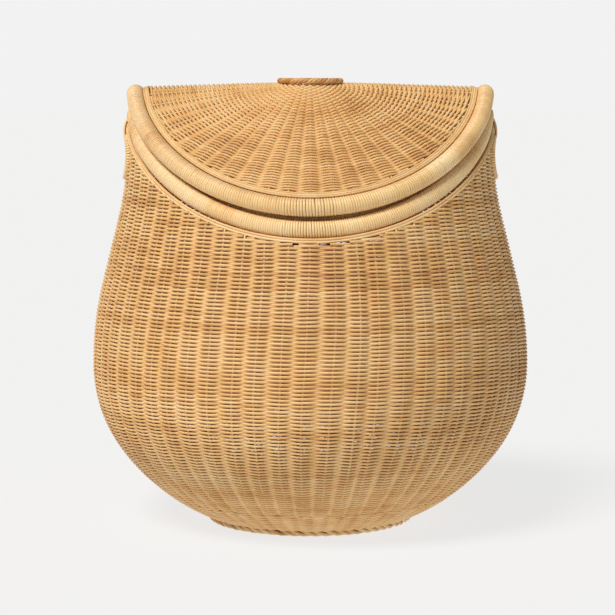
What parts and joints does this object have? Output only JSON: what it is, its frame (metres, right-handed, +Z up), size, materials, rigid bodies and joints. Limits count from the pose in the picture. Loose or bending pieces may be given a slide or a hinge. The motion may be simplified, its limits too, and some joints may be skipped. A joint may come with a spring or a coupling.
{
  "type": "laundry basket",
  "caption": "Round-bellied woven rattan laundry basket with a saddle-shaped mouth, framed hand-holds and a peaked lift-off lid.",
  "frame": {"origin": "on the floor at the centre of the foot border", "axes": "+Z up, X along the lid's ridge through the two hand-holds, -Y the side where the mouth dips towards the viewer"},
  "size_m": [0.5539, 0.554, 0.5615],
  "materials": {
    "woven_cane": "natural round core, woven",
    "stake_cane": "natural round core",
    "border_cane": "natural round core, plaited",
    "wrapped_cane": "flat split cane, wrapped, satin",
    "bent_pole": "peeled rattan pole",
    "nail_steel": "plain wire nail"
  },
  "bodies": {
    "basket": {"foot_border": "border_cane", "base_sticks_lower": "stake_cane", "base_sticks_upper": "stake_cane", "base_weave": "woven_cane", "foot_band": "woven_cane", "side_stakes": "stake_cane", "side_weave": "woven_cane", "body_rim_core": "bent_pole", "body_rim_wrap": "wrapped_cane", "body_rim_canes": "border_cane", "body_rim_nails": "nail_steel", "hoop_core_left": "bent_pole", "hoop_core_right": "bent_pole", "hoop_wrap_left": "wrapped_cane", "hoop_wrap_right": "wrapped_cane"},
    "lid": {"finger_ring": "border_cane", "lid_spokes": "stake_cane", "lid_weave": "woven_cane", "lid_rim_core": "bent_pole", "lid_rim_wrap": "wrapped_cane", "lid_rim_canes": "border_cane", "lid_rim_nails": "nail_steel", "locating_ring_core": "bent_pole", "locating_ring_wrap": "wrapped_cane", "locating_ring_ties": "wrapped_cane"}
  },
  "joints": [
    {"name": "lid_lift", "type": "slide", "parent": "basket", "child": "lid", "axis": [0, 0, 1], "range_m": [0, 0.2]}
  ]
}
